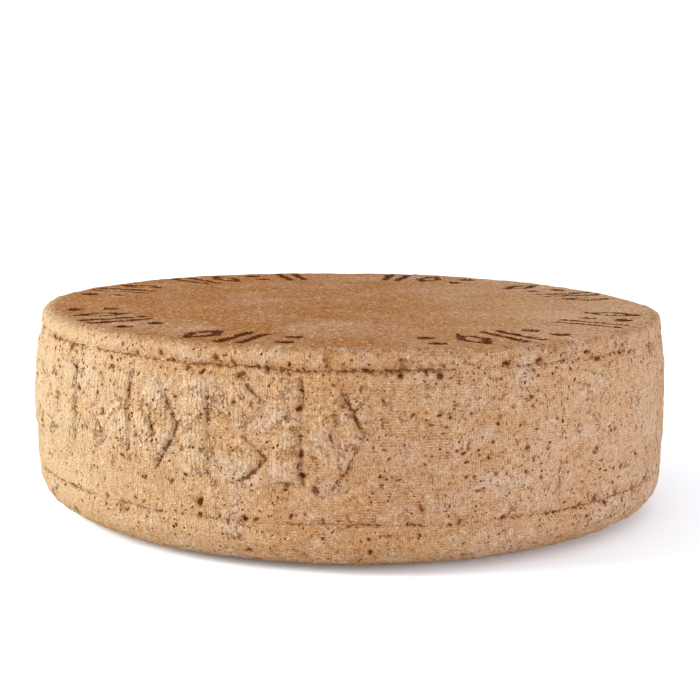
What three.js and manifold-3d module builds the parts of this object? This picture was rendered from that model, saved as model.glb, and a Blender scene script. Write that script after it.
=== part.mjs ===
// A whole wheel of semi-hard cheese with its natural rind: one solid, flat on its base and its top.
// The side bellies out a little, and carries the mark of the press band that it was moulded in: a
// shallow groove along each edge of the band, the upright line of the band's joint, and a row of
// raised lozenges and bars that leaves the band plain on both sides of the joint.
// Units are millimetres. +Z is up, and the origin is the middle of the base.
import * as THREE from "three";
import { mergeVertices } from "three/addons/utils/BufferGeometryUtils.js";
import Module from "manifold-3d";

// The wheel.
const wheelDiameter = 300; // across the belly, where the side is widest
const wheelHeight = 92;
const bellyHeight = 50; // of the widest ring, above the base
const topInset = 4.6; // how far the side draws in from the belly up to the top edge
const baseInset = 3.2; // and down to the base edge
const topEdgeRadius = 5;
const baseEdgeDepth = 23; // the base edge is a quarter of an ellipse: this far in from the side,
const baseEdgeHeight = 15.5; // and this far up from the base

// Out of round: each term is [lobes round the wheel, depth, turn in degrees]. An even number of
// lobes leaves the wheel centred on its axis, and more than two keep it from being oval.
const waves = [
  [4, 0.5, 20],
  [6, 0.35, 75],
  [10, 0.2, 140],
];

// The press band.
const bandTopGap = 8.5; // from its upper groove to the top of the wheel
const bandBottom = 21; // height of its lower groove
const grooveWidth = 2;
const grooveDepth = 0.8;
const jointAngle = -54; // degrees from +X, seen from above
const jointWidth = 1.6;

// The raised row on the band. It runs clockwise, seen from above, and each cell of it is a lozenge
// with a bar after it.
const markTopGap = 6; // from the marks to the band's upper groove
const markHeight = 39;
const reliefHeight = 0.8;
const barWidth = 10;
const lozengeWidth = 21;
const lozengeStroke = 6.5; // of the hollow lozenge, measured along the band
const lozengeGap = 2.6; // between the two small lozenges of a pair
const cellPitch = 15; // degrees from one bar to the next
const rowAfterJoint = 38; // degrees from the joint to the middle of the first lozenge
const plainArc = 100; // degrees of the band that the row leaves without marks, at the least

// How finely the round surfaces are cut into flats.
const flatsRound = 80;
const flatsInEdge = 5;
const flatsUpSide = 7;

const radius = wheelDiameter / 2;
const bandTop = wheelHeight - bandTopGap;
const bandMiddle = (bandTop + bandBottom) / 2;
const markMiddle = bandTop - markTopGap - markHeight / 2;
const rowStart = jointAngle - rowAfterJoint;
const cellCount = Math.floor((360 - plainArc) / cellPitch);
const reach = 12; // how far a prism runs in and out of the side's surface
const rad = THREE.MathUtils.degToRad;

const wasm = await Module();
wasm.setup();

// A closed geometry as a solid that can be joined and cut.
function solidOf(geometry) {
  const bare = geometry.index ? geometry.toNonIndexed() : geometry.clone();
  bare.deleteAttribute("normal");
  bare.deleteAttribute("uv");
  const merged = mergeVertices(bare, 1e-4);
  return new wasm.Manifold(
    new wasm.Mesh({
      numProp: 3,
      vertProperties: new Float32Array(merged.attributes.position.array),
      triVerts: new Uint32Array(merged.index.array),
    }),
  );
}

// A solid as a geometry that a mesh can hold.
function geometryOf(solid) {
  const mesh = solid.getMesh();
  const geometry = new THREE.BufferGeometry();
  geometry.setAttribute("position", new THREE.BufferAttribute(mesh.vertProperties, 3));
  geometry.setIndex(new THREE.BufferAttribute(mesh.triVerts, 1));
  geometry.computeVertexNormals();
  return geometry;
}

// Radius of the side at a height: a parabola down from the belly each way.
function sideRadius(height) {
  const above = height > bellyHeight;
  const inset = above ? topInset : baseInset;
  const span = above ? wheelHeight - bellyHeight : bellyHeight;
  return radius - inset * ((height - bellyHeight) / span) ** 2;
}

// The groove at a band edge, as profile points that dip in and come out again.
function groove(height) {
  return [-grooveWidth / 2, 0, grooveWidth / 2].map((step) => {
    const dip = step === 0 ? grooveDepth : 0;
    return new THREE.Vector2(sideRadius(height + step) - dip, height + step);
  });
}

// A quarter of an ellipse about a centre, from an angle to a right angle past it.
function roundEdge(centreR, centreZ, depth, height, from) {
  return Array.from({ length: flatsInEdge + 1 }, (_, i) => {
    const turn = from + ((Math.PI / 2) * i) / flatsInEdge;
    return new THREE.Vector2(centreR + depth * Math.cos(turn), centreZ + height * Math.sin(turn));
  });
}

// Points up the side between two heights, without the ends.
function sidePoints(from, to, count) {
  return Array.from({ length: count }, (_, i) => {
    const height = from + ((to - from) * (i + 1)) / (count + 1);
    return new THREE.Vector2(sideRadius(height), height);
  });
}

// The wheel's profile from the middle of the base, up the side, to the middle of the top.
function profile() {
  const topEdgeStart = wheelHeight - topEdgeRadius;
  const baseCentre = sideRadius(baseEdgeHeight) - baseEdgeDepth;
  const topCentre = sideRadius(topEdgeStart) - topEdgeRadius;
  return [
    new THREE.Vector2(0, 0),
    ...roundEdge(baseCentre, baseEdgeHeight, baseEdgeDepth, baseEdgeHeight, -Math.PI / 2),
    ...groove(bandBottom),
    ...sidePoints(bandBottom, bandTop, flatsUpSide),
    ...groove(bandTop),
    ...roundEdge(topCentre, topEdgeStart, topEdgeRadius, topEdgeRadius, 0),
    new THREE.Vector2(0, wheelHeight),
  ];
}

// The profile turned about +Z, made out of round, and grown outwards by a few tenths where asked.
function turned(points, grow = 0) {
  const grown = points.map((p) => new THREE.Vector2(p.x > 0 ? p.x + grow : 0, p.y));
  const geometry = new THREE.LatheGeometry(grown, flatsRound).rotateX(Math.PI / 2);
  const place = geometry.attributes.position;
  for (let i = 0; i < place.count; i += 1) {
    const x = place.getX(i);
    const y = place.getY(i);
    const angle = Math.atan2(y, x);
    const swell = waves.reduce(
      (sum, [lobes, depth, turn]) => sum + depth * Math.cos(lobes * angle + rad(turn)),
      0,
    );
    const factor = 1 + swell / radius;
    place.setXY(i, x * factor, y * factor);
  }
  return solidOf(geometry);
}

// A flat outline carried straight out through the side's surface, at an angle round the wheel and
// at a height. Outlines are drawn with x along the band, to the right as seen from outside, and y
// upwards.
function through(shape, angle, height) {
  const depth = 2 * reach;
  const geometry = new THREE.ExtrudeGeometry(shape, { depth, bevelEnabled: false, curveSegments: 1 });
  geometry.translate(0, 0, radius - reach);
  geometry.rotateX(Math.PI / 2);
  geometry.rotateZ(rad(angle + 90));
  geometry.translate(0, 0, height);
  return solidOf(geometry);
}

function bar(width, height) {
  return new THREE.Shape([
    new THREE.Vector2(-width / 2, -height / 2),
    new THREE.Vector2(width / 2, -height / 2),
    new THREE.Vector2(width / 2, height / 2),
    new THREE.Vector2(-width / 2, height / 2),
  ]);
}

function lozenge(width, height, middle = 0) {
  return [
    new THREE.Vector2(0, middle - height / 2),
    new THREE.Vector2(width / 2, middle),
    new THREE.Vector2(0, middle + height / 2),
    new THREE.Vector2(-width / 2, middle),
  ];
}

function hollowLozenge() {
  const shape = new THREE.Shape(lozenge(lozengeWidth, markHeight));
  const share = 1 - (2 * lozengeStroke) / lozengeWidth;
  shape.holes.push(new THREE.Path(lozenge(lozengeWidth * share, markHeight * share)));
  return [shape];
}

// Two small lozenges, one above the other, with a gap between their points.
function lozengePair() {
  const height = (markHeight - lozengeGap) / 2;
  const offset = (height + lozengeGap) / 2;
  return [-offset, offset].map((middle) => new THREE.Shape(lozenge(lozengeWidth, height, middle)));
}

// Every raised mark, as prisms that run out through the side. Hollow lozenges and pairs take turns.
function markPrisms() {
  const prisms = [];
  for (let cell = 0; cell < cellCount; cell += 1) {
    const angle = rowStart - cell * cellPitch;
    const lozenges = cell % 2 === 0 ? hollowLozenge() : lozengePair();
    lozenges.forEach((shape) => prisms.push(through(shape, angle, markMiddle)));
    prisms.push(through(bar(barWidth, markHeight), angle - cellPitch / 2, markMiddle));
  }
  return prisms;
}

const wheelProfile = profile();
const body = turned(wheelProfile);
const grownBody = turned(wheelProfile, reliefHeight);
const shrunkBody = turned(wheelProfile, -grooveDepth);

const marks = wasm.Manifold.union(markPrisms()).intersect(grownBody);
const jointBar = through(bar(jointWidth, bandTop - bandBottom), jointAngle, bandMiddle);
const jointCut = jointBar.subtract(shrunkBody);
const wheelSolid = body.add(marks).subtract(jointCut);

const rind = new THREE.MeshStandardMaterial({ color: 0xd0a377, roughness: 0.9, metalness: 0 });
const cheeseWheel = new THREE.Mesh(geometryOf(wheelSolid), rind);
cheeseWheel.name = "cheese_wheel";

const root = new THREE.Group();
root.add(cheeseWheel);

export default root;
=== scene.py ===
# %% [markdown]
# # A wheel of semi-hard cheese with its natural rind
#
# The object is one thing: a low drum of pressed curd that has ripened for months on a board. The CAD
# solid gives its size, its outline, the two grooves and the joint line that the press band left, and
# the row of raised lozenges and bars on the band. What is left for Blender is the rind itself, which
# is dry, granular and pitted, like fine cork.
#
# A rind could be one smooth lathed drum with everything else painted on. It would look right from the
# front and fall apart at the outline, where the eye expects lumps and chips. So here the big and the
# middle sizes, from lumps of 45 mm down to pits of 2 mm, are real shape in one closed mesh, and only
# what is finer than the mesh is left to the material.

# %% The frame
from math import pi, radians

import bpy
import numpy as np
from mathutils import Matrix, Vector


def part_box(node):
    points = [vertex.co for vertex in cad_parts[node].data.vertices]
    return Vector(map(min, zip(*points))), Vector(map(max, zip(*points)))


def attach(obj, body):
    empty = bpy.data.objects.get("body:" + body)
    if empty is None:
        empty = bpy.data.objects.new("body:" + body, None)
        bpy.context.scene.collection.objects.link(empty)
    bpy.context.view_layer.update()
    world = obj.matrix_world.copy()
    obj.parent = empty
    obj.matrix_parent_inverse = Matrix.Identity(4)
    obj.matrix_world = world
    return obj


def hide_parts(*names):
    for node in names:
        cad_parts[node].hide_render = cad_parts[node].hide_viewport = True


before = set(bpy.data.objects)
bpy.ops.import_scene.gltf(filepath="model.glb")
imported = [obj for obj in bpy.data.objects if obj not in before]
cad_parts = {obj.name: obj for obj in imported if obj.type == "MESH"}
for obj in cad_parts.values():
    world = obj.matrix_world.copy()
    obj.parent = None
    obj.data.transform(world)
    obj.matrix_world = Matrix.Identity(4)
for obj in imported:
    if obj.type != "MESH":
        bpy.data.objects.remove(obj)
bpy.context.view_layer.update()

# %% [markdown]
# ## Sizes
#
# Everything below is worked out in millimetres, because that is how a rind is thought about, and goes
# into the mesh in metres at the end. The wheel's height and its radius are measured on the CAD solid.
# The rest are the solid's own design sizes: they say where the grooves and the marks are, so that the
# fine rind has them in the same places.

# %% Sizes of the wheel and of its press band
MM = 0.001  # metres in a millimetre

base_corner, top_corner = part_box("cheese_wheel")
HEIGHT = (top_corner[2] - base_corner[2]) / MM
BELLY_HEIGHT = 50
TOP_INSET = 4.6  # the side draws in by this much from the belly to the top edge
BASE_INSET = 3.2
TOP_EDGE = 5  # radius of the top edge
BASE_EDGE_DEPTH = 23  # the base edge is a quarter of an ellipse
BASE_EDGE_HEIGHT = 15.5

solid_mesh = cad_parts["cheese_wheel"].data
solid_points = np.empty(len(solid_mesh.vertices) * 3)
solid_mesh.vertices.foreach_get("co", solid_points)
solid_points = solid_points.reshape(-1, 3) / MM
on_belly = abs(solid_points[:, 2] - BELLY_HEIGHT) < 4  # mm
RADIUS = float(np.median(np.hypot(solid_points[on_belly, 0], solid_points[on_belly, 1])))

UPPER_GROOVE = HEIGHT - 8.5
LOWER_GROOVE = 21
JOINT_ANGLE = radians(-54)  # from +X, seen from above
MARK_HEIGHT = 39
MARK_MIDDLE = UPPER_GROOVE - 6 - MARK_HEIGHT / 2
BAR_WIDTH = 10
LOZENGE_WIDTH = 21
LOZENGE_STROKE = 6.5
LOZENGE_GAP = 2.6
CELL_PITCH = radians(15)
ROW_START = JOINT_ANGLE - radians(38)
CELL_COUNT = 17
RELIEF = 0.8

print(f"radius {RADIUS:.1f} mm, height {HEIGHT:.1f} mm")

# %% [markdown]
# ## The outline and its rings
#
# The outline runs from the middle of the base, round the base edge, up the bellied side, over the top
# edge and in to the middle of the top. A plain lathe would put the same number of points on every
# ring, which crowds them at the middle and wastes them. Here each ring gets as many points as its
# length needs, and the rings lie closest together on the side and the edges, where the detail is.

# %% The outline, as a radius and a height
def side_radius(height):
    """Radius of the side at a height: a parabola that falls away from the belly up and down."""
    above = height > BELLY_HEIGHT
    inset = np.where(above, TOP_INSET, BASE_INSET)
    span = np.where(above, HEIGHT - BELLY_HEIGHT, BELLY_HEIGHT)
    return RADIUS - inset * ((height - BELLY_HEIGHT) / span) ** 2


BASE_RIM = float(side_radius(BASE_EDGE_HEIGHT)) - BASE_EDGE_DEPTH
TOP_RIM = float(side_radius(HEIGHT - TOP_EDGE)) - TOP_EDGE


def outline(steps=400):
    """Rows of (radius, height): a line out along the base, a quarter ellipse, the side's parabola, a
    quarter circle and a line back in along the top."""
    share = np.linspace(0, 1, steps, endpoint=False)
    turn = share * pi / 2
    heights = BASE_EDGE_HEIGHT + share * (HEIGHT - TOP_EDGE - BASE_EDGE_HEIGHT)
    radii = [
        share * BASE_RIM,
        BASE_RIM + BASE_EDGE_DEPTH * np.sin(turn),
        side_radius(heights),
        TOP_RIM + TOP_EDGE * np.cos(turn),
        (1 - share) * TOP_RIM,
    ]
    levels = [
        share * 0,
        BASE_EDGE_HEIGHT * (1 - np.cos(turn)),
        heights,
        HEIGHT - TOP_EDGE * (1 - np.sin(turn)),
        share * 0 + HEIGHT,
    ]
    return np.stack([np.concatenate(radii), np.concatenate(levels)], axis=1)


# %% Where the rings go
FINE = 1.22  # between points on the side and on both edges
TOP_COARSEST = 2.3
BASE_COARSEST = 6.0


def ring_table(points):
    """One row per ring: radius, height, and the outward normal's two parts. The distance along the
    outline is divided by the spacing wanted there and added up, and a ring goes at each whole step."""
    radius, height = points.T
    step = np.gradient(points, axis=0)
    length = np.hypot(step[:, 0], step[:, 1])
    on_base = height < 1e-6
    on_top = height > HEIGHT - 1e-6
    spacing = np.full(len(points), FINE)
    spacing[on_base] = np.minimum(FINE + (BASE_RIM - radius[on_base]) * 0.12, BASE_COARSEST)
    spacing[on_top] = np.minimum(FINE + (TOP_RIM - radius[on_top]) * 0.03, TOP_COARSEST)
    steps_so_far = np.cumsum(length / spacing)
    wanted = np.arange(1, int(steps_so_far[-1]))
    columns = [radius, height, step[:, 1] / length, -step[:, 0] / length, spacing]
    return np.stack([np.interp(wanted, steps_so_far, column) for column in columns], axis=1)


rings = ring_table(outline())
ring_radius, ring_height, normal_out, normal_up, ring_spacing = rings.T
# A multiple of six, so that neighbouring rings mostly have the same number of points.
ring_count = 6 * np.maximum(1, np.round(2 * pi * ring_radius / ring_spacing / 6)).astype(int)
ring_turned = np.arange(len(rings)) % 2  # every other ring is turned by half a step
ring_phase = ring_turned / 2
ring_first = 1 + np.concatenate([[0], np.cumsum(ring_count)[:-1]])
print(len(rings), "rings,", ring_count.sum() + 2, "points")

# %% [markdown]
# ## Stitching the rings together
#
# Two neighbouring rings may hold different numbers of points. Each edge of one ring makes a triangle
# with the point of the other ring that lies nearest to the edge's middle, and the other way round.
# Sorting all those middles round the wheel gives one strip of triangles with no gap and no overlap.

# %% Triangles between two rings
def stitch(first, second):
    """Triangles between ring numbers first and second. An edge's middle is at (index + 1/2 + phase)
    shares of its ring, and its far corner is the count of the other ring's middles before it. Middles
    are kept as whole half steps, because a rounding error where two of them meet would tear a hole."""
    count_a, count_b = ring_count[first], ring_count[second]
    edge_a, edge_b = np.arange(count_a), np.arange(count_b)
    start_a, start_b = 1 + ring_turned[first], 1 + ring_turned[second]
    ahead_a = (2 * edge_a + start_a) * count_b - start_b * count_a
    ahead_b = (2 * edge_b + start_b) * count_a - start_a * count_b
    far_b = -(-ahead_a // (2 * count_a))  # rounded up
    far_a = ahead_b // (2 * count_b) + 1
    a, b = ring_first[first], ring_first[second]
    from_a = [a + edge_a, a + (edge_a + 1) % count_a, b + far_b % count_b]
    from_b = [a + far_a % count_a, b + (edge_b + 1) % count_b, b + edge_b]
    return np.concatenate([np.stack(from_a, axis=1), np.stack(from_b, axis=1)])


def pole_fan(ring, pole, facing_down):
    """Triangles from one ring in to the point at its middle."""
    edge = np.arange(ring_count[ring])
    here = ring_first[ring] + edge
    after = ring_first[ring] + (edge + 1) % ring_count[ring]
    order = [pole + 0 * edge, after, here] if facing_down else [here, after, pole + 0 * edge]
    return np.stack(order, axis=1)


last_ring = len(rings) - 1
top_pole = 1 + ring_count.sum()
strips = [stitch(ring, ring + 1) for ring in range(last_ring)]
fans = [pole_fan(0, 0, True), pole_fan(last_ring, top_pole, False)]
triangles = np.concatenate([fans[0], *strips, fans[1]])

# On a closed mesh each edge is walked once each way, by the two triangles that share it.
walks = np.concatenate([triangles[:, [0, 1]], triangles[:, [1, 2]], triangles[:, [2, 0]]])
one_way = walks[:, 0] * (top_pole + 1) + walks[:, 1]
other_way = walks[:, 1] * (top_pole + 1) + walks[:, 0]
repeated = len(walks) - len(np.unique(one_way))
unmatched = len(np.setxor1d(one_way, other_way))
print(len(triangles), "triangles,", repeated + unmatched, "open edges")

# %% The smooth wheel: a place, a normal and an angle for every point
point_ring = np.repeat(np.arange(len(rings)), ring_count)
point_index = np.arange(ring_count.sum()) - (ring_first - 1)[point_ring]
point_turn = (point_index + ring_phase[point_ring]) / ring_count[point_ring]
angle = np.concatenate([[0], (point_turn * 2 * pi + pi) % (2 * pi) - pi, [0]])
radius = np.concatenate([[0], ring_radius[point_ring], [0]])
height = np.concatenate([[0], ring_height[point_ring], [HEIGHT]])
out_part = np.concatenate([[0], normal_out[point_ring], [0]])
up_part = np.concatenate([[-1], normal_up[point_ring], [1]])


def about_axis(outwards, upwards, turn):
    """Rows of x, y, z for points that lie a distance outwards from the axis, at an angle round it."""
    return np.stack([outwards * np.cos(turn), outwards * np.sin(turn), upwards + 0 * turn], axis=1)


smooth = about_axis(radius, height, angle)
normal = about_axis(out_part, up_part, angle)
normal /= np.linalg.norm(normal, axis=1)[:, None]

# %% [markdown]
# ## Random shapes that come out the same every time
#
# The rind needs numbers that look random but are tied to places, and that a second run repeats. The
# usual way is lattice noise: every corner of a grid of cubes gets a number from a hash of its place,
# and a point in between blends the eight numbers round it.

# %% Lattice noise
STIR = np.array([73856093, 19349663, 83492791])  # large primes, one per direction


def corner_number(cell, seed):
    """A fixed number from -1 to 1 for each cube corner: its three counts are multiplied by primes,
    mixed bit by bit, and the low 16 bits are kept."""
    mixed = (cell * STIR).sum(axis=1) + seed * 2654435761
    mixed = ((mixed ^ (mixed >> 13)) * 1274126177) & 0xFFFFFFFF
    mixed = mixed ^ (mixed >> 16)
    return (mixed & 0xFFFF) / 32767.5 - 1


def noise(points, size, seed):
    """Smooth noise from -1 to 1 whose lumps are about size millimetres across."""
    scaled = points / size
    cell = np.floor(scaled).astype(np.int64)
    part = scaled - cell
    blend = part * part * (3 - 2 * part)
    total = np.zeros(len(points))
    for corner in np.ndindex(2, 2, 2):
        weight = np.where(corner, blend, 1 - blend).prod(axis=1)
        total += weight * corner_number(cell + corner, seed)
    return total


def ramp(value, start, end):
    """0 at start, 1 at end, with a smooth curve between."""
    share = np.clip((value - start) / (end - start), 0, 1)
    return share * share * (3 - 2 * share)


sample = noise(smooth, 8, 1)
print("noise runs from", sample.min().round(2), "to", sample.max().round(2))

# %% [markdown]
# ## Lumps
#
# A wheel comes out of its mould a little out of round, and its rind dries unevenly. The out-of-round
# waves are those of the solid. The lumps are layers of noise, each finer and shallower than the last.
# The flat base gets hardly any, because the weight of the cheese has pressed it flat on its board. Both
# edges get more of the finest, because they crumble each time that the wheel is turned and brushed.

# %% Out of round, and lumps
WAVES = [(4, 0.5, 20), (6, 0.35, 75), (10, 0.2, 140)]  # lobes, depth in mm, turn in degrees
LUMPS = [(45, 0.6), (17, 0.5), (7, 0.34), (3.4, 0.24)]  # size across and depth, in mm

swell = sum(depth * np.cos(lobes * angle + radians(turn)) for lobes, depth, turn in WAVES)
swell *= radius / RADIUS

lumps = sum(depth * noise(smooth, size, 10 + layer) for layer, (size, depth) in enumerate(LUMPS))
on_side = ramp(abs(out_part), 0.15, 0.6)
calm = 0.5 + 0.5 * on_side  # the faces are smoother than the side
pressed = ramp(up_part, -0.98, -0.8)  # 0 on the flat of the base
lumps *= calm * pressed
crumbling = ramp(abs(up_part), 0.25, 0.6) * ramp(-abs(up_part), -0.99, -0.9)
lumps += 0.42 * crumbling * noise(smooth, 3.1, 15)
print("lumps stand", lumps.std().round(2), "mm from the smooth wheel on average")

# %% [markdown]
# ## The row of marks on the press band
#
# The mould's band is embossed, and leaves a row of raised lozenges and bars. Cutting them into the
# mesh would need edges that follow them. It is simpler to work out, for every point, how far inside a
# mark it lies. That one number raises the mark, cuts the fine crease along its edge, and later tells
# the material where the crease darkens. A little noise on the place bends every edge, as real curd
# does, and a second noise lets the marks fade where the curd didn't fill the mould.

# %% How far inside a mark a point lies
FAR = 20.0  # stands for far away, in mm
SHALLOW_ANGLE = radians(-155)  # the creases and their painted shadow are faintest there, on the side that faces the large light


def in_box(x, y, width, tall):
    """Distance inside an upright rectangle, negative outside it."""
    return np.minimum(width / 2 - abs(x), tall / 2 - abs(y))


def in_lozenge(x, y, width, tall):
    """Distance inside a lozenge, |x| / half width + |y| / half height < 1, in mm: what is left of 1
    is divided by how fast it falls."""
    left = 1 - abs(x) * 2 / width - abs(y) * 2 / tall
    return left / np.hypot(2 / width, 2 / tall)


def in_marks(turn, level):
    """Distance inside the nearest mark of the row. The angle past the row's start picks the cell; even
    cells hold a hollow lozenge, odd ones two small lozenges, and a bar follows each."""
    past = (ROW_START - turn) % (2 * pi)
    past = np.where(past > 2 * pi - CELL_PITCH / 2, past - 2 * pi, past)
    cell = np.round(past / CELL_PITCH)
    x = (past - cell * CELL_PITCH) * RADIUS
    y = level - MARK_MIDDLE
    hole = 1 - 2 * LOZENGE_STROKE / LOZENGE_WIDTH
    hollow = np.minimum(
        in_lozenge(x, y, LOZENGE_WIDTH, MARK_HEIGHT),
        -in_lozenge(x, y, LOZENGE_WIDTH * hole, MARK_HEIGHT * hole),
    )
    small = (MARK_HEIGHT - LOZENGE_GAP) / 2
    pair = in_lozenge(x, abs(y) - (small + LOZENGE_GAP) / 2, LOZENGE_WIDTH, small)
    lozenge = np.where(cell % 2 == 0, hollow, pair)
    lozenge = np.where((cell >= 0) & (cell < CELL_COUNT), lozenge, -FAR)
    after = np.floor(past / CELL_PITCH)
    bar_x = (past - (after + 0.5) * CELL_PITCH) * RADIUS
    bar = in_box(bar_x, y, BAR_WIDTH, MARK_HEIGHT)
    bar = np.where((after >= 0) & (after < CELL_COUNT), bar, -FAR)
    return np.clip(np.maximum(lozenge, bar), -FAR, FAR)


MARK_BEND = 0.9  # how far the marks' edges are bent, in mm

bend = np.stack([noise(smooth, 9, seed) + 0.5 * noise(smooth, 4, seed + 5) for seed in (21, 22)])
level = height + MARK_BEND * bend[1]
mark_edge = in_marks(angle + MARK_BEND * bend[0] / RADIUS, level)
mark_edge = np.where(on_side > 0.5, mark_edge, -FAR)

filled = ramp(noise(smooth, 30, 23) + 0.6 * noise(smooth, 12, 24), -0.75, 0.35)
mark_raise = RELIEF * ramp(mark_edge, -0.9, 0.9) * (0.3 + 0.7 * filled)

# The crease is cut deepest and painted darkest on the side of each mark further round the wheel,
# which at the front is the side away from the large light on the left. Its dark colour there is
# painted shadow of the raised mark, and noise makes it come and go.
PROBE = 1.5  # mm to either side
left_turn, right_turn = (angle + (MARK_BEND * bend[0] + step) / RADIUS for step in (-PROBE, PROBE))
towards_right = (in_marks(left_turn, level) - in_marks(right_turn, level)) / (2 * PROBE)
torn_and_shadow_side = noise(smooth, 13, 25) + 0.6 * noise(smooth, 4, 26) + 0.75 * np.clip(towards_right, -1, 1)
shallow = np.exp(-(((angle - SHALLOW_ANGLE) / radians(22)) ** 2))
creased = ramp(torn_and_shadow_side, -0.1, 0.9) * (1 - 0.8 * shallow)
mark_crease = 0.65 * creased * np.exp(-(((mark_edge + 0.9) / 1.0) ** 2))
print((mark_edge > 0).sum(), "points lie on a mark")

# %% [markdown]
# ## The grooves and the joint of the band
#
# The band's two edges press a groove into the side all the way round, and its overlap leaves one
# upright line. The grooves wander a little and close up in places. Each is kept as the signed
# distance to the line, which stays exact between mesh points, and a strength that comes and goes.

# %% Distance to each line, and how strong it is there
def wander(size, reach, seed):
    """How far a line strays from straight, in mm."""
    return reach * (noise(smooth, size, seed) + 0.4 * noise(smooth, size / 4, seed + 1))


upper_gap = height - UPPER_GROOVE + wander(22, 0.9, 31)
second_gap = upper_gap + 3.1 + wander(16, 0.6, 33)
nearer_second = second_gap < -upper_gap
lower_gap = height - LOWER_GROOVE + wander(20, 0.9, 35)
joint_turn = (angle - JOINT_ANGLE + pi) % (2 * pi) - pi
joint_gap = np.clip(joint_turn * RADIUS + wander(14, 0.5, 37), -FAR, FAR)

# The band was looser just past its joint, so its upper edge bit less there.
looser = ramp(joint_turn, -0.35, 0.0) * ramp(-joint_turn, -1.8, -1.2)
upper_there = ramp(noise(smooth, 26, 41) + 0.6 * noise(smooth, 7, 42), -0.9, 0.0) * (1 - 0.45 * looser)
second_there = ramp(noise(smooth, 34, 43) + 0.5 * noise(smooth, 6, 44), 0.0, 0.5)
lower_there = ramp(noise(smooth, 24, 45) + 0.6 * noise(smooth, 7, 46), -0.9, 0.15)
within_band = ramp(height, LOWER_GROOVE + 2, LOWER_GROOVE + 12) * ramp(-height, -UPPER_GROOVE + 2, -70)
joint_there = within_band * ramp(noise(smooth, 9, 47), -0.6, 0.4)

on_wall = ramp(out_part, 0.5, 0.8)
# Both branches of the upper groove share one number, so the lower branch is counted downwards.
upper_line = np.where(nearer_second, -second_gap, upper_gap)
upper_line_there = np.where(nearer_second, 0.7 * second_there, upper_there)
line_gap = np.stack([upper_line, lower_gap, joint_gap], axis=1)
line_there = np.stack([upper_line_there, lower_there, joint_there], axis=1) * on_wall[:, None]
line_depth = np.array([1.15, 0.85, 0.85])
cuts = (line_there * line_depth * np.exp(-((line_gap / 0.95) ** 2))).sum(axis=1)

# The curd above the upper groove was outside the band, and stands a little proud of it.
lip = 0.5 * on_wall * ramp(upper_gap, 0.3, 1.6)
print("the deepest cut is", cuts.max().round(2), "mm")

# %% [markdown]
# ## The branded ring on the top
#
# A hot iron has burnt a ring of marks into the top, near its edge. They are plain lozenges, ticks and
# dots here. Each mark is drawn in its own small flat frame, with x along the ring and y inwards, and
# as before every point gets its distance inside the nearest mark.

# %% How far inside a branded mark a point lies
BRAND_RADIUS = 124
BRAND_CELLS = 40
BRAND_TALL = 33  # along the radius
BRAND_WIDE = 15
BRAND_STROKE = 4.2
BRAND_START = radians(-124)
BRAND_CYCLE = 10  # cells; the fourth, fifth and last of each cycle are blank
BRAND_BLANK = (3, 4, 9)
BRAND_BEND = 0.5  # in mm

brand_pitch = 2 * pi / BRAND_CELLS
brand_past = (angle - BRAND_START) % (2 * pi)
brand_cell = np.floor(brand_past / brand_pitch)
brand_x = (brand_past - (brand_cell + 0.5) * brand_pitch) * BRAND_RADIUS + BRAND_BEND * bend[0]
brand_y = BRAND_RADIUS - radius + BRAND_BEND * bend[1]
brand_hole = 1 - 1.9 * BRAND_STROKE / BRAND_WIDE
brand_lozenge = np.minimum(
    in_lozenge(brand_x, brand_y, BRAND_WIDE, BRAND_TALL),
    -in_lozenge(brand_x, brand_y, BRAND_WIDE * brand_hole, BRAND_TALL * brand_hole),
)
brand_ticks = in_box(abs(brand_x) - BRAND_WIDE / 3.5, brand_y, BRAND_STROKE, BRAND_TALL)
brand_dots = BRAND_STROKE - np.hypot(brand_x, abs(brand_y) - BRAND_TALL / 4)
brand_edge = np.choose((brand_cell % 3).astype(int), [brand_lozenge, brand_ticks, brand_dots])
brand_blank = np.isin(brand_cell % BRAND_CYCLE, BRAND_BLANK)
brand_edge = np.where(brand_blank | (up_part < 0.9), -FAR, brand_edge)
brand_sink = 0.6 * ramp(brand_edge, -0.4, 0.8)
print((brand_edge > 0).sum(), "points lie on a branded mark")

# %% [markdown]
# ## Pits
#
# Small holes are what makes a natural rind: gas eyes that break the surface, and places where the
# curd never closed. They crowd along the grooves and along the creases of the marks. Each pit is a
# centre on the wheel, two axes in the surface, a radius and a stretch. Trial centres are strewn evenly
# over the surface, kept by chance where pits are likely, and dropped where they would run together.

# %% Strew the pits
TRIALS = 11000
PIT_GAP = 1.5  # least clear space between two pits, in mm
rng = np.random.default_rng(7)

corner_places = smooth[triangles]
face_cross = np.cross(
    corner_places[:, 1] - corner_places[:, 0], corner_places[:, 2] - corner_places[:, 0]
)
face_area = np.linalg.norm(face_cross, axis=1) / 2
trial_face = rng.choice(len(triangles), TRIALS, p=face_area / face_area.sum())
at = triangles[trial_face, rng.integers(0, 3, TRIALS)]

near_line = np.exp(-((upper_gap[at] / 3.5) ** 2)) * (0.4 + upper_there[at])
near_line += 0.6 * np.exp(-((lower_gap[at] / 3) ** 2)) * lower_there[at]
near_mark = np.exp(-(((mark_edge[at] + 0.8) / 1.6) ** 2)) * creased[at]
crowds = ramp(noise(smooth[at], 26, 51) + 0.5 * noise(smooth[at], 9, 52), -0.6, 0.9)
likely = (0.14 + 0.5 * crowds) * (0.35 + 0.65 * on_side[at])
likely = likely + on_wall[at] * (1.3 * near_line + 0.55 * near_mark)
likely = np.where(up_part[at] < -0.5, 0.15, likely)
likely = np.where(brand_edge[at] > -2, 0, likely)
pit_radius = 0.36 + rng.exponential(0.25, TRIALS) * (0.85 + 0.5 * near_line * on_wall[at])
pit_radius = np.clip(pit_radius, 0.38, 1.5) * np.where(up_part[at] > 0.5, 0.75, 1)

keep = rng.random(TRIALS) < likely
at, pit_radius = at[keep], pit_radius[keep]

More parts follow.
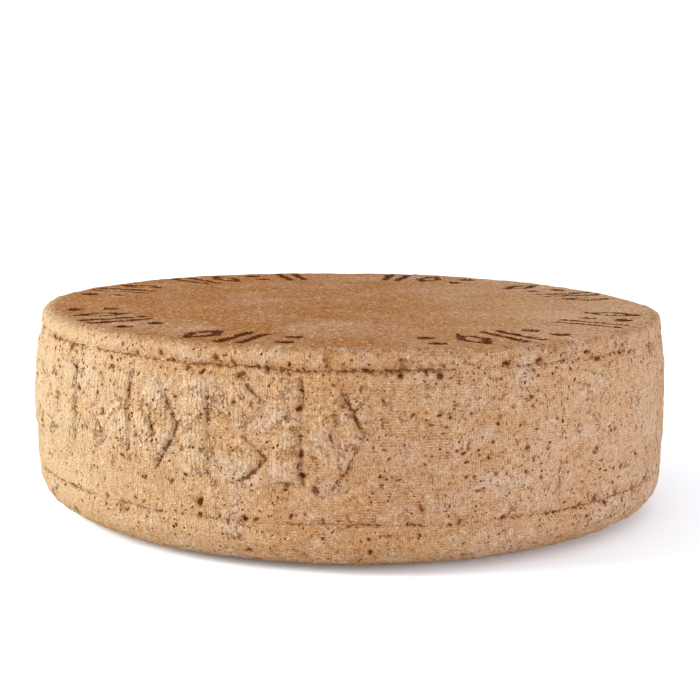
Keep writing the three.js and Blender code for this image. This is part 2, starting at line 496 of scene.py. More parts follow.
# A few larger holes opened where the band pulled at the curd.
BIG_HOLES = [(-107, 81, 1.7), (-97, 50, 1.2), (-97, 42, 1.4), (-82, 82, 1.2), (-76, 82, 1.5)]
hole_turns, hole_heights, hole_radii = np.array(BIG_HOLES).T  # degrees, mm, mm
hole_places = about_axis(side_radius(hole_heights), hole_heights, np.radians(hole_turns))
hole_at = [np.linalg.norm(smooth - hole, axis=1).argmin() for hole in hole_places]
at = np.concatenate([at, hole_at])
pit_radius = np.concatenate([pit_radius, hole_radii])
apart = np.linalg.norm(smooth[at][:, None] - smooth[at][None], axis=2)
crowded = apart < pit_radius[:, None] + pit_radius[None] + PIT_GAP
bigger_first = (pit_radius[None] > pit_radius[:, None]) | (
    (pit_radius[None] == pit_radius[:, None]) & (np.arange(len(at))[None] < np.arange(len(at))[:, None])
)
alone = ~(crowded & bigger_first).any(axis=1)
at, pit_radius = at[alone], pit_radius[alone]
print(len(at), "pits, the widest", (2 * pit_radius.max()).round(1), "mm across")

# %% The pits' own axes
pit_turn = rng.uniform(0, pi, len(at))
pit_stretch = rng.uniform(1.0, 1.6, len(at))
pit_tone = rng.random(len(at))
pit_centre = smooth[at]
round_wheel = about_axis(np.ones(len(at)), 0, angle[at] + pi / 2)
up_wheel = np.cross(normal[at], round_wheel)
cosine, sine = np.cos(pit_turn)[:, None], np.sin(pit_turn)[:, None]
pit_long = (cosine * round_wheel + sine * up_wheel) / (pit_radius * pit_stretch)[:, None]
pit_short = (cosine * up_wheel - sine * round_wheel) * (pit_stretch / pit_radius)[:, None]


def nearest_pit(places, block=20000):
    """Which pit is nearest to each place, counted in that pit's own radii. Squared distances come from
    |a|^2 - 2 a.b + |b|^2, a block of places at a time."""
    found = []
    for start in range(0, len(places), block):
        part = places[start : start + block]
        squared = (part**2).sum(axis=1)[:, None] - 2 * part @ pit_centre.T
        squared = (squared + (pit_centre**2).sum(axis=1)) / pit_radius**2
        found.append(squared.argmin(axis=1))
    return np.concatenate(found)


def pit_offset(places, pit):
    """A place measured from a pit's centre along the pit's two axes, in units of its radius."""
    from_centre = places - pit_centre[pit]
    along = (from_centre * pit_long[pit]).sum(axis=-1)
    across = (from_centre * pit_short[pit]).sum(axis=-1)
    return np.stack([along, across], axis=-1)


# %% How deep the pits are in the mesh
# A pit narrower than the mesh's spacing would pull one lone point in, so those are left to the
# material, and a pit comes in gradually with its width.
own_pit = nearest_pit(smooth)
pit_distance = np.linalg.norm(pit_offset(smooth, own_pit), axis=1)
bowl = np.sqrt(np.clip(1 - pit_distance**2, 0, 1))
pit_depth = 1.1 * pit_radius[own_pit] * bowl * ramp(pit_radius[own_pit], 0.6, 1.1)
pit_depth *= ramp(up_part, -0.9, -0.5)  # the flat of the base is too coarse to hold one
print("the deepest pit is", pit_depth.max().round(2), "mm")

# %% [markdown]
# ## The mesh
#
# All the layers are lengths along the surface's normal, so they simply add up. The result is made
# metres and handed to Blender in one call. The distances go in as attributes, and the offsets from the
# nearest pit go in as a map with a value at each triangle's corners, so that a pit's round edge stays
# exact inside a triangle even where the mesh is coarser than the pit.

# %% Add the layers up and make the mesh
move = lumps + mark_raise + lip - mark_crease - cuts - brand_sink - pit_depth
places = smooth + about_axis(swell, 0, angle) + normal * move[:, None]
places[:, 2] = np.maximum(places[:, 2], 0)  # nothing reaches below what the wheel rests on

rind_mesh = bpy.data.meshes.new("cheese_rind")
rind_mesh.from_pydata((places * MM).tolist(), [], triangles.tolist())
rind = bpy.data.objects.new("cheese_rind", rind_mesh)
bpy.context.collection.objects.link(rind)
rind_mesh.shade_smooth()


def point_layer(name, kind, field, values):
    """Stores one value per point, under a name that the material reads."""
    layer = rind_mesh.attributes.new(name, kind, "POINT")
    layer.data.foreach_set(field, np.ascontiguousarray(values, np.float32).ravel())


def corner_layer(name, values):
    """Stores two values per triangle corner, as a map that the material reads."""
    layer = rind_mesh.uv_layers.new(name=name, do_init=False)
    layer.uv.foreach_set("vector", np.ascontiguousarray(values, np.float32).ravel())


point_layer("mark_edge", "FLOAT", "value", mark_edge)
point_layer("mark_creased", "FLOAT", "value", creased)
point_layer("brand_edge", "FLOAT", "value", brand_edge)
point_layer("line_gap", "FLOAT_VECTOR", "vector", line_gap)
point_layer("line_there", "FLOAT_VECTOR", "vector", line_there)

face_middle = corner_places.mean(axis=1)
face_pit = nearest_pit(face_middle)
corner_layer("pit_offset", pit_offset(corner_places, face_pit[:, None]))
tone_pair = np.stack([pit_tone, 0 * pit_tone], axis=1)[face_pit]  # a map needs a second number
corner_layer("pit_tone", np.repeat(tone_pair[:, None], 3, axis=1))
print("mesh of", len(rind_mesh.polygons), "triangles")

# %% [markdown]
# ## A flat map of the rind
#
# A picture of the whole rind, for use outside Blender, needs the surface laid out flat with little
# stretch. Cut like a tin can, the side and both edges unroll into four strips, and the base and the
# top are discs. The base is hidden most of the time, so its disc is drawn smaller.

# %% Lay out four strips and two discs
STRIPS = 4
MAP_MARGIN = 3.0
BASE_SCALE = 0.6

side_rings = (ring_height > 0.01) & (ring_height < HEIGHT - 0.01)
along_rings = np.concatenate([[0], np.cumsum(np.hypot(np.diff(ring_radius), np.diff(ring_height)))])
along = np.concatenate([[0], along_rings[point_ring], [along_rings[-1]]])
strip_low = along_rings[np.argmax(side_rings)] - FINE
strip_high = along_rings[len(rings) - 1 - np.argmax(side_rings[::-1])] + FINE
strip_tall = strip_high - strip_low + MAP_MARGIN
strip_wide = 2 * pi * RADIUS / STRIPS

face_ring_height = height[triangles].mean(axis=1)
face_turn = np.arctan2(face_middle[:, 1], face_middle[:, 0])
corner_turn = angle[triangles]
corner_turn = corner_turn + 2 * pi * np.round((face_turn[:, None] - corner_turn) / (2 * pi))
face_strip = np.floor((face_turn + pi) / (2 * pi) * STRIPS).clip(0, STRIPS - 1)
strip_start = face_strip * 2 * pi / STRIPS - pi
strip_u = MAP_MARGIN + (corner_turn - strip_start[:, None]) * RADIUS
strip_v = MAP_MARGIN + along[triangles] - strip_low + (face_strip * strip_tall)[:, None]

disc_x = strip_wide + 4 * MAP_MARGIN + TOP_RIM
top_disc = corner_places[:, :, :2] + np.array([disc_x, TOP_RIM + 2 * MAP_MARGIN])
base_middle = np.array([disc_x, 2 * TOP_RIM + 5 * MAP_MARGIN + BASE_RIM * BASE_SCALE])
base_disc = corner_places[:, :, :2] * np.array([-1, 1]) * BASE_SCALE + base_middle

in_base = face_ring_height < 0.3
in_top = face_ring_height > HEIGHT - 0.3
flat_map = np.stack([strip_u, strip_v], axis=-1)
flat_map = np.where(in_base[:, None, None], base_disc, flat_map)
flat_map = np.where(in_top[:, None, None], top_disc, flat_map)
corner_layer("OFBake", flat_map / (flat_map.max() + MAP_MARGIN))
print("the map is", flat_map.max().round(), "mm square")

# %% [markdown]
# ## The material: a dry natural rind
#
# The rind of a brushed, semi-hard cheese is dried curd and harmless moulds. It is quite matt, its
# colour runs from cream to orange-brown, it is grained like fine cork, and dusty grey-pink bloom sits
# in its hollows. Most layers below are one of those things; some are wholly or partly painted light and
# shade, and say so where they go on. The patterns are sized in millimetres, on the object's own
# coordinates, so they don't stretch anywhere.

# %% Two helpers: sRGB colours, and adding a node
def colour(code):
    """An sRGB hex code as the linear red, green, blue and alpha that a shader takes."""
    parts = np.array([int(code[i : i + 2], 16) for i in (1, 3, 5)]) / 255
    linear = np.where(parts <= 0.04045, parts / 12.92, ((parts + 0.055) / 1.055) ** 2.4)
    return (*linear.tolist(), 1.0)


def add(tree, kind, inputs=None, out=0, **settings):
    """Adds a node with its settings. inputs maps a socket's name or number to a value or to another
    node's output, which is linked. Gives back the output asked for."""
    made = tree.nodes.new(kind)
    for name, value in settings.items():
        setattr(made, name, value)
    for name, value in (inputs or {}).items():
        if isinstance(value, bpy.types.NodeSocket):
            tree.links.new(value, made.inputs[name])
        else:
            made.inputs[name].default_value = value
    return made.outputs[out]


MATH, RANGE, MIX = "ShaderNodeMath", "ShaderNodeMapRange", "ShaderNodeMix"
NOISE, CELLS, VECTOR = "ShaderNodeTexNoise", "ShaderNodeTexVoronoi", "ShaderNodeVectorMath"
FACTOR, COLOUR_A, COLOUR_B, COLOUR_OUT = 0, 6, 7, 2  # sockets of a colour Mix node

# %% The material, and places in millimetres
rind_skin = bpy.data.materials.new("brushed_natural_rind")
rind_skin.use_nodes = True
tree = rind_skin.node_tree
tree.nodes.clear()

place_m = add(tree, "ShaderNodeTexCoord", out="Object")
place = add(tree, VECTOR, {0: place_m, "Scale": 1 / MM}, operation="SCALE")
apart_xyz = tree.nodes.new("ShaderNodeSeparateXYZ")
tree.links.new(place, apart_xyz.inputs[0])
x_out, y_out, z_out = apart_xyz.outputs

# %% [markdown]
# ### Grain
#
# Grain comes in four sizes: a ragged unevenness of 3 mm with ever finer steps in it, sand of 2 mm,
# crumbs of about a millimetre that are small domes with dark gaps between them, and dust finer than
# that. Their weighted sum says how high the grain stands, and is used again for the colour: partly the
# grain's own tone, partly painted shade in its low places and painted highlight on its tops.

# %% Grain heights, each from 0 to 1
crumb_bend = add(tree, NOISE, {"Vector": place, "Scale": 1 / 1.4, "Detail": 3.0}, out="Color")
crumb_place = add(
    tree, VECTOR, {0: crumb_bend, 1: (1.5, 1.5, 1.5), 2: place}, operation="MULTIPLY_ADD"
)
crumb_cell = add(tree, CELLS, {"Vector": crumb_place, "Scale": 1 / 1.1}, out="Distance")
crumb = add(tree, RANGE, {0: crumb_cell, 1: 0.8, 2: 0.1}, interpolation_type="SMOOTHSTEP")
uneven = add(tree, NOISE, {"Vector": place, "Scale": 1 / 3.4, "Detail": 5.0, "Roughness": 0.66})
dust = add(tree, NOISE, {"Vector": place, "Scale": 1 / 0.75, "Detail": 2.0, "Roughness": 0.7})
sand = add(tree, NOISE, {"Vector": place, "Scale": 1 / 2.1, "Detail": 2.0, "Distortion": 0.3})
grain_sum = add(tree, MATH, {0: uneven, 1: 0.6}, operation="MULTIPLY")
grain_sum = add(tree, MATH, {0: sand, 1: 0.5, 2: grain_sum}, operation="MULTIPLY_ADD")
grain_sum = add(tree, MATH, {0: crumb, 1: 0.18, 2: grain_sum}, operation="MULTIPLY_ADD")
grain_sum = add(tree, MATH, {0: dust, 1: 0.85, 2: grain_sum}, operation="MULTIPLY_ADD")
crumbs_between = add(tree, RANGE, {0: grain_sum, 1: 0.85, 2: 1.25, 3: 1.0, 4: 0.3})

# %% [markdown]
# ### The print of the cloth
#
# The curd was wrapped in cloth while it was pressed, and every thread left a fine gap. Upright gaps are
# waves in the angle round the wheel, a whole number of them so that they meet, and level ones are waves
# in height. Only the lowest part of each wave is kept, which leaves narrow gaps between broad threads.
# The embossed marks pressed harder and have coarser ridges. The faces were under a lid and have none.

# %% Gaps between threads
THREAD = 1.15  # mm from one thread to the next
RIDGE = 2.05  # mm from one ridge of a mark to the next

turn_node = add(tree, MATH, {0: y_out, 1: x_out}, operation="ARCTAN2")
sway = add(tree, NOISE, {"Vector": place, "Scale": 1 / 5, "Detail": 3.0})
THREADS = [  # what the waves follow, their radians in each unit of it, and the radians of sway
    (turn_node, round(2 * pi * RADIUS / THREAD), 9.0),
    (z_out, 2 * pi / THREAD, 9.0),
    (turn_node, round(2 * pi * RADIUS / RIDGE), 10.0),
]
gaps = []
for along_node, pace, reach in THREADS:
    swayed = add(tree, MATH, {0: sway, 1: reach}, operation="MULTIPLY")
    phase = add(tree, MATH, {0: along_node, 1: float(pace), 2: swayed}, operation="MULTIPLY_ADD")
    wave = add(tree, MATH, {0: phase}, operation="SINE")
    gaps.append(add(tree, RANGE, {0: wave, 1: 0.2, 2: -1.0}, interpolation_type="SMOOTHSTEP"))
upright, level, ridge_gap = gaps

# %% Where the threads show
cloth_patch = add(tree, NOISE, {"Vector": place, "Scale": 1 / 14, "Detail": 4.0, "Roughness": 0.65})
cloth_there = add(tree, RANGE, {0: cloth_patch, 1: 0.42, 2: 0.62, 3: 0.15})
level_patch = add(tree, RANGE, {0: cloth_patch, 1: 0.6, 2: 0.42, 3: 0.1, 4: 0.9})
level_place = add(tree, VECTOR, {0: place, 1: (1, 1, 0)}, operation="MULTIPLY")
from_axis = add(tree, VECTOR, {0: level_place}, operation="LENGTH", out="Value")
off_faces = add(tree, RANGE, {0: from_axis, 1: TOP_RIM - 2, 2: TOP_RIM + 3})

mark_node = add(tree, "ShaderNodeAttribute", out="Fac", attribute_name="mark_edge")
edge_bend = add(tree, NOISE, {"Vector": place, "Scale": 1 / 1.3, "Detail": 3.0})
mark_bent = add(tree, MATH, {0: edge_bend, 1: 2.4, 2: mark_node}, operation="MULTIPLY_ADD")
on_mark = add(tree, RANGE, {0: mark_bent, 1: 0.6, 2: 2.0}, interpolation_type="SMOOTHSTEP")
off_mark = add(tree, MATH, {0: 1.0, 1: on_mark}, operation="SUBTRACT")
above_band = add(tree, RANGE, {0: z_out, 1: UPPER_GROOVE, 2: UPPER_GROOVE + 2, 4: 0.8})

upright_there = add(tree, MATH, {0: cloth_there, 1: above_band}, operation="MAXIMUM")
upright = add(tree, MATH, {0: upright, 1: upright_there}, operation="MULTIPLY")
level = add(tree, MATH, {0: level, 1: level_patch}, operation="MULTIPLY")
cloth = add(tree, MATH, {0: upright, 1: level}, operation="MAXIMUM")
cloth = add(tree, MATH, {0: cloth, 1: off_mark}, operation="MULTIPLY")
cloth = add(tree, MATH, {0: cloth, 1: off_faces}, operation="MULTIPLY")
ridge_there = add(tree, RANGE, {0: cloth_patch, 1: 0.35, 2: 0.55, 3: 0.45})
ridge_there = add(tree, MATH, {0: ridge_there, 1: on_mark}, operation="MULTIPLY")
ridge_gap = add(tree, MATH, {0: ridge_gap, 1: ridge_there}, operation="MULTIPLY")

# %% [markdown]
# ### Creases, lines and pits
#
# The distances stored on the mesh become masks here. A crease is as wide as it is strong, so that it
# comes and goes along its length. A pit's edge is bent by fine noise so that no two look alike.

# %% The crease along a mark's edge: its dark colour is painted shade, strongest on the mark's side away from the left light
ragged = add(tree, NOISE, {"Vector": place, "Scale": 1 / 2.6, "Detail": 4.0, "Roughness": 0.7})
ragged_width = add(tree, RANGE, {0: ragged, 1: 0.4, 2: 0.66, 3: 0.25, 4: 1.6})
crease_gap = add(tree, MATH, {0: mark_bent, 1: 0.3}, operation="SUBTRACT")
crease_gap = add(tree, MATH, {0: crease_gap}, operation="ABSOLUTE")
creased_node = add(tree, "ShaderNodeAttribute", out="Fac", attribute_name="mark_creased")
crease_width = add(tree, MATH, {0: creased_node, 1: ragged_width}, operation="MULTIPLY")
crease_less = add(tree, MATH, {0: crease_gap, 1: crease_width}, operation="SUBTRACT")
crease = add(tree, RANGE, {0: crease_less, 1: 0.1, 2: -0.5}, interpolation_type="SMOOTHSTEP")
dashes = add(tree, RANGE, {0: uneven, 1: 0.57, 2: 0.46, 3: 0.2})
crease = add(tree, MATH, {0: crease, 1: dashes}, operation="MULTIPLY")
# A broader tint round the crease: painted shade that follows the crease's strength
crease_rim = add(tree, RANGE, {0: crease_gap, 1: 3.0, 2: 0.4})
crease_rim = add(tree, MATH, {0: crease_rim, 1: creased_node}, operation="MULTIPLY")

# %% The grooves and the joint
LINE_SWAY = (3.2, 3.0, 1.6)  # in mm, for the upper groove, the lower groove and the joint
HALF_SWAY = tuple(reach / 2 for reach in LINE_SWAY)  # the noise is 1/2 on average
LINE_HALF = (0.6, 0.5, 1.3)  # half of each line's width where it is strong, before it frays, in mm

gap_node = add(tree, "ShaderNodeAttribute", out="Vector", attribute_name="line_gap")
there_node = add(tree, "ShaderNodeAttribute", out="Vector", attribute_name="line_there")
line_bend = add(tree, NOISE, {"Vector": place, "Scale": 1 / 1.6, "Detail": 3.0}, out="Color")
bent_gap = add(
    tree, VECTOR, {0: line_bend, 1: LINE_SWAY, 2: gap_node}, operation="MULTIPLY_ADD"
)
bent_gap = add(tree, VECTOR, {0: bent_gap, 1: HALF_SWAY}, operation="SUBTRACT")
bent_gap = add(tree, VECTOR, {0: bent_gap}, operation="ABSOLUTE")
line_width = add(tree, VECTOR, {0: there_node, "Scale": ragged_width}, operation="SCALE")
line_width = add(tree, VECTOR, {0: line_width, 1: LINE_HALF}, operation="MULTIPLY")
line_more = add(tree, VECTOR, {0: line_width, 1: bent_gap}, operation="SUBTRACT")
line_mask = add(
    tree,
    RANGE,
    {"Vector": line_more, 7: (-0.15,) * 3, 8: (0.4,) * 3, 9: (0,) * 3, 10: (1, 1, 0.8)},
    out="Vector",
    data_type="FLOAT_VECTOR",
    interpolation_type="SMOOTHSTEP",
)
line_cut = add(tree, VECTOR, {0: line_mask, 1: (1, 1, 1)}, operation="DOT_PRODUCT", out="Value")
# The grooves' dark colour, partly painted shade, fades on the crumbs' tops
line_cut = add(tree, MATH, {0: line_cut, 1: crumbs_between}, operation="MULTIPLY")
stain_mask = add(
    tree,
    RANGE,
    {"Vector": bent_gap, 7: (3.0, 2.0, 1.0), 8: (0,) * 3, 9: (0,) * 3, 10: (1, 0.8, 0)},
    out="Vector",
    data_type="FLOAT_VECTOR",
)
stain = add(tree, VECTOR, {0: stain_mask, 1: there_node}, operation="DOT_PRODUCT", out="Value")
stain_rag = add(tree, RANGE, {0: ragged, 1: 0.42, 2: 0.62})
stain = add(tree, MATH, {0: stain, 1: stain_rag}, operation="MULTIPLY")

# %% Short ragged cracks where the curds didn't close: a soft noise passes its middle value there
crack_noise = add(
    tree, NOISE, {"Vector": place, "Scale": 1 / 6, "Detail": 4.0, "Roughness": 0.6, "Distortion": 0.4}
)
crack_gap = add(tree, MATH, {0: crack_noise, 1: 0.5}, operation="SUBTRACT")
crack_gap = add(tree, MATH, {0: crack_gap}, operation="ABSOLUTE")
crack_patch = add(tree, NOISE, {"Vector": place, "Scale": 1 / 8, "Detail": 2.0})
crack_near = add(tree, RANGE, {0: mark_node, 1: -7.0, 2: -1.0, 4: 0.09})
crack_patch = add(tree, MATH, {0: crack_patch, 1: crack_near}, operation="ADD")
crack_width = add(tree, RANGE, {0: crack_patch, 1: 0.55, 2: 0.72, 3: -0.02, 4: 0.045})
crack_less = add(tree, MATH, {0: crack_gap, 1: crack_width}, operation="SUBTRACT")
crack = add(tree, RANGE, {0: crack_less, 1: 0.004, 2: -0.014}, interpolation_type="SMOOTHSTEP")
crack = add(tree, MATH, {0: crack, 1: off_faces}, operation="MULTIPLY")
# The cracks' dark colour, partly painted shade, fades on the crumbs' tops
crack = add(tree, MATH, {0: crack, 1: crumbs_between}, operation="MULTIPLY")

# %% The pits
offset_node = add(tree, "ShaderNodeUVMap", uv_map="pit_offset")
tone_node = add(tree, "ShaderNodeUVMap", uv_map="pit_tone")
tone_of_pit = add(tree, "ShaderNodeSeparateXYZ", {0: tone_node})

pit_bend = add(tree, VECTOR, {0: line_bend, 1: (0.5, 0.5, 0.5)}, operation="SUBTRACT")
pit_bend = add(tree, VECTOR, {0: pit_bend, "Scale": 2.2}, operation="SCALE")
pit_bent = add(tree, VECTOR, {0: offset_node, 1: pit_bend}, operation="ADD")
pit_far = add(tree, VECTOR, {0: pit_bent}, operation="LENGTH", out="Value")
pit_hole = add(tree, RANGE, {0: pit_far, 1: 1.15, 2: 0.55}, interpolation_type="SMOOTHSTEP")
pit_halo = add(tree, RANGE, {0: pit_far, 1: 2.4, 2: 0.9}, interpolation_type="SMOOTHSTEP")
# The pit's dark colour: partly the rind's own brown inside it, partly painted shade of the hole
pit_dark = add(tree, RANGE, {0: tone_of_pit, 1: 0.0, 2: 1.0, 3: 0.5, 4: 1.0})
pit_dark = add(tree, MATH, {0: pit_hole, 1: pit_dark}, operation="MULTIPLY")

# %% Specks: pits too small to be in the mesh
speck_place = add(
    tree, VECTOR, {0: line_bend, 1: (1.4, 1.4, 1.4), 2: place}, operation="MULTIPLY_ADD"
)
speck_cell = add(tree, CELLS, {"Vector": speck_place, "Scale": 1 / 2.5}, out="Distance")
speck_crowd = add(tree, NOISE, {"Vector": place, "Scale": 1 / 9, "Detail": 4.0, "Roughness": 0.6})
speck_size = add(tree, RANGE, {0: speck_crowd, 1: 0.38, 2: 0.72, 3: 0.02, 4: 0.27})
speck_less = add(tree, MATH, {0: speck_cell, 1: speck_size}, operation="SUBTRACT")
# The speck's dark colour is partly painted shade of a hole too small for the mesh
speck = add(tree, RANGE, {0: speck_less, 1: 0.08, 2: -0.06}, interpolation_type="SMOOTHSTEP")

# %% The burnt marks on the top
brand_node = add(tree, "ShaderNodeAttribute", out="Fac", attribute_name="brand_edge")
brand_bent = add(tree, MATH, {0: edge_bend, 1: 3.2, 2: brand_node}, operation="MULTIPLY_ADD")
brand_bent = add(tree, MATH, {0: brand_bent, 1: 1.6}, operation="SUBTRACT")
brand = add(tree, RANGE, {0: brand_bent, 1: -0.45, 2: 0.35}, interpolation_type="SMOOTHSTEP")
burnt = add(tree, RANGE, {0: ragged, 1: 0.38, 2: 0.5, 3: 0.7})
brand = add(tree, MATH, {0: brand, 1: burnt}, operation="MULTIPLY")

# %% [markdown]
# ### Colour
#
# Colour goes on in layers: the dried curd, the broad drift of its tone, the bloom, then the dark things
# on top. Some layers are wholly or partly painted light and shade: the darker top, the paler left and
# right of the side, and the dark in the grain, gaps, cracks, creases, grooves and pits. Each layer is a
# mask, a share and a colour.

# %% Colour masks
drift = add(tree, NOISE, {"Vector": place, "Scale": 1 / 38, "Detail": 3.0})
drift_more = add(tree, NOISE, {"Vector": place, "Scale": 1 / 55, "Detail": 3.0, "Distortion": 0.4})
warm = add(tree, RANGE, {0: drift, 1: 0.45, 2: 0.68})
pale = add(tree, RANGE, {0: drift, 1: 0.5, 2: 0.3})
rosy = add(tree, RANGE, {0: drift_more, 1: 0.5, 2: 0.66})
ochre = add(tree, RANGE, {0: drift_more, 1: 0.46, 2: 0.3})
# painted shade: the top face is painted darker and browner than the side, standing in for shade that falls
# on the top
on_top = add(tree, RANGE, {0: z_out, 1: HEIGHT - 3, 2: HEIGHT - 0.6})
base_near = add(tree, RANGE, {0: z_out, 1: 24.0, 2: 4.0})
# painted light: the side is painted paler and flatter towards the left, where the large light falls
left_painted_light = add(tree, RANGE, {0: x_out, 1: -20.0, 2: -150.0})
# painted light: the rind is painted paler towards the right, where the fill light falls
right_painted_light = add(tree, RANGE, {0: x_out, 1: 10.0, 2: 150.0})
left_painted_light = add(tree, MATH, {0: left_painted_light, 1: off_faces}, operation="MULTIPLY")

# Darker in the grain's low places and paler on its tops: partly the grain's own tone, partly painted shade
# and painted highlight
low_grain_tone_and_shade = add(tree, RANGE, {0: grain_sum, 1: 1.03, 2: 0.81}, interpolation_type="SMOOTHSTEP")
high_grain_tone_and_highlight = add(tree, RANGE, {0: grain_sum, 1: 1.09, 2: 1.33}, interpolation_type="SMOOTHSTEP")

bloom_place = add(tree, VECTOR, {0: place, 1: (1, 1, 1.9)}, operation="MULTIPLY")
bloom_drift = add(
    tree, NOISE, {"Vector": bloom_place, "Scale": 1 / 21, "Detail": 5.0, "Roughness": 0.66}
)
bloom_near = add(tree, RANGE, {0: mark_node, 1: -5.0, 2: -0.5, 4: 0.06})
bloom_drift = add(tree, MATH, {0: bloom_drift, 1: bloom_near}, operation="ADD")
bloom = add(tree, RANGE, {0: bloom_drift, 1: 0.5, 2: 0.67})
bloom_fine = add(tree, RANGE, {0: grain_sum, 1: 0.9, 2: 1.2, 3: 0.2})
bloom = add(tree, MATH, {0: bloom, 1: bloom_fine}, operation="MULTIPLY")
bloom_side = add(tree, RANGE, {0: off_faces, 3: 0.3})
bloom = add(tree, MATH, {0: bloom, 1: bloom_side}, operation="MULTIPLY")

# %% Lay the colours on
CURD = "#b3875f"
LAYERS = [
    # painted shade on the top face
    (on_top, 0.85, "#864e1d"),
    (warm, 0.35, "#a97243"),
    (pale, 0.35, "#bc9e7d"),
    (rosy, 0.25, "#b58d76"),
    (ochre, 0.2, "#aa8759"),
    (base_near, 0.2, "#a98250"),
    # painted light on the right
    (right_painted_light, 0.5, "#c6a98c"),
    (on_mark, 0.2, "#be9f79"),
    # grain: partly its own tone, partly painted shade in its low places and painted highlight on its tops
    (low_grain_tone_and_shade, 0.75, "#805024"),
    (high_grain_tone_and_highlight, 0.85, "#d0b593"),
    # thread gaps and the marks' ridge gaps: partly the rind's own colour, partly painted shade in the gaps
    (cloth, 0.38, "#8d582b"),
    (ridge_gap, 0.35, "#895728"),
    (bloom, 0.55, "#c3b0a2"),
    # painted shade round the creases
    (crease_rim, 0.3, "#a8703f"),
    # painted light on the left of the side
    (left_painted_light, 0.5, "#b49f80"),
    (stain, 0.6, "#945525"),
    (pit_halo, 0.4, "#a2632f"),
    # cracks: partly the rind's own colour, partly painted shade in them
    (crack, 0.75, "#7a461f"),
    # painted shadow in the creases, mostly on the side of each mark away from the left light
    (crease, 0.9, "#683918"),
    # grooves and the joint: partly the rind's own colour, partly painted shade in them
    (line_cut, 1, "#683918"),
    # specks and pits: partly the rind's own dark brown, partly painted shade of the holes
    (speck, 0.95, "#562d11"),
    (pit_dark, 1, "#54290f"),
    (brand, 1, "#4b2008"),
]
skin = add(tree, "ShaderNodeRGB")
skin.default_value = colour(CURD)
for mask, share, code in LAYERS:
    covering = add(tree, MATH, {0: mask, 1: float(share)}, operation="MULTIPLY", use_clamp=True)
    both = {FACTOR: covering, COLOUR_A: skin, COLOUR_B: colour(code)}
    skin = add(tree, MIX, both, COLOUR_OUT, data_type="RGBA")

# %% [markdown]
# ### Height
#
# The same grain that tints the rind also bumps it, so that light and colour agree. Heights are in
# millimetres, and the Bump node is told that one unit is a millimetre.

# %% Bump height in millimetres
HEIGHTS = [
    (uneven, 1.25),
    (sand, 1.8),
    (crumb, 0.16),
    (dust, 0.5),
    (cloth, -0.18),
    (ridge_gap, -0.34),
    (on_mark, 0.4),
    (crack, -0.5),
    (crease, -0.6),
    (line_cut, -0.6),
    (pit_hole, -0.8),
    (speck, -0.5),
    (brand, -0.3),
]
relief = 0.0
for mask, depth in HEIGHTS:
    relief = add(tree, MATH, {0: mask, 1: depth, 2: relief}, operation="MULTIPLY_ADD")
bumped = add(tree, "ShaderNodeBump", {"Height": relief, "Distance": MM})

# %% The shader: dry curd is as matt as chalk, so it has next to no gloss
shader = add(
    tree,
    "ShaderNodeBsdfPrincipled",
    {
        "Base Color": skin,
        "Roughness": 0.9,
        "Normal": bumped,
        "Specular IOR Level": 0.02,
        "IOR": 1.45,
    },
)
rind_output = tree.nodes.new("ShaderNodeOutputMaterial")
tree.links.new(shader, rind_output.inputs["Surface"])
rind_mesh.materials.append(rind_skin)
print(len(tree.nodes), "nodes in the rind's material")

# %% The rind rides on the solid's body and stands for the solid
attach(rind, "root")
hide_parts("cheese_wheel")

# %% [markdown]
# ## The studio
#
# The wheel stands on a plain white table in a white room, as in a product picture. The table is a
# light table: it glows a little, which keeps it white and its shadows thin. The room gives even light, a
# large soft light stands low on the left, and a weaker one fills in from the right.

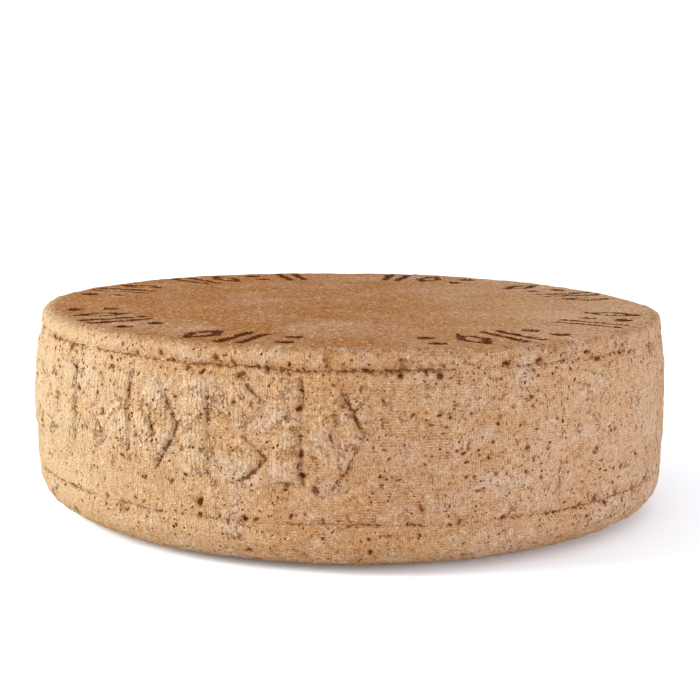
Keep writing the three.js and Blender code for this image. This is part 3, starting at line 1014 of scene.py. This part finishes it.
# %% Floor and room
floor_mesh = bpy.data.meshes.new("floor")
FLOOR = 12.0  # half its width, in metres
FLOOR_DROP = 0.0004  # it lies this far under the base, so that the two faces don't flicker
floor_mesh.from_pydata(
    [(x, y, -FLOOR_DROP) for x, y in ((-FLOOR, -FLOOR), (FLOOR, -FLOOR), (FLOOR, FLOOR), (-FLOOR, FLOOR))],
    [],
    [(0, 1, 2, 3)],
)
floor = bpy.data.objects.new("floor", floor_mesh)
bpy.context.collection.objects.link(floor)
floor_paint = bpy.data.materials.new("matt_white_table")
floor_paint.use_nodes = True
floor_shader = floor_paint.node_tree.nodes["Principled BSDF"]
floor_shader.inputs["Base Color"].default_value = colour("#f6f9ff")
floor_shader.inputs["Roughness"].default_value = 0.9
floor_shader.inputs["Specular IOR Level"].default_value = 0.0
floor_shader.inputs["Emission Color"].default_value = colour("#ffffff")
floor_shader.inputs["Emission Strength"].default_value = 0.08
floor_mesh.materials.append(floor_paint)

room = bpy.data.worlds.new("white_room")
room.use_nodes = True
room_light = room.node_tree.nodes["Background"]
room_light.inputs["Color"].default_value = colour("#ffffff")
room_light.inputs["Strength"].default_value = 1.02
bpy.context.scene.world = room

# %% Camera and lights
def aimed(place, target, roll=0.0):
    """The matrix of a thing that stands at a place and looks along its own -Z at a target."""
    facing = (Vector(target) - Vector(place)).to_track_quat("-Z", "Y").to_matrix().to_4x4()
    return Matrix.Translation(place) @ facing @ Matrix.Rotation(roll, 4, "Z")


CAMERA_ABOVE = radians(8.72)
CAMERA_AWAY = 5.09 * RADIUS * MM
CAMERA_ROLL = radians(0.77)
LOOK_AT = Vector((0, 0, 0.752 * HEIGHT * MM))

camera = bpy.data.objects.new("camera", bpy.data.cameras.new("camera"))
camera.data.sensor_width = 36
camera.data.lens = 80.7
back = Vector((0, -np.cos(CAMERA_ABOVE), np.sin(CAMERA_ABOVE)))
camera.matrix_world = aimed(LOOK_AT + back * CAMERA_AWAY, LOOK_AT, CAMERA_ROLL)
bpy.context.collection.objects.link(camera)
bpy.context.scene.camera = camera

LIGHTS = [
    ("left_softbox", (-1.3, -0.25, 0.6), 0.7, 30.0, "#f1fbf9"),
    ("right_softbox", (1.2, -0.7, 0.22), 0.7, 12.0, "#eaf0ff"),
]
for name, spot, width, watts, tint in LIGHTS:
    lamp = bpy.data.lights.new(name, "AREA")
    lamp.size = width
    lamp.energy = watts
    lamp.color = colour(tint)[:3]
    lamp_object = bpy.data.objects.new(name, lamp)
    lamp_object.matrix_world = aimed(spot, LOOK_AT)
    bpy.context.collection.objects.link(lamp_object)

bpy.context.scene.view_settings.view_transform = "Standard"
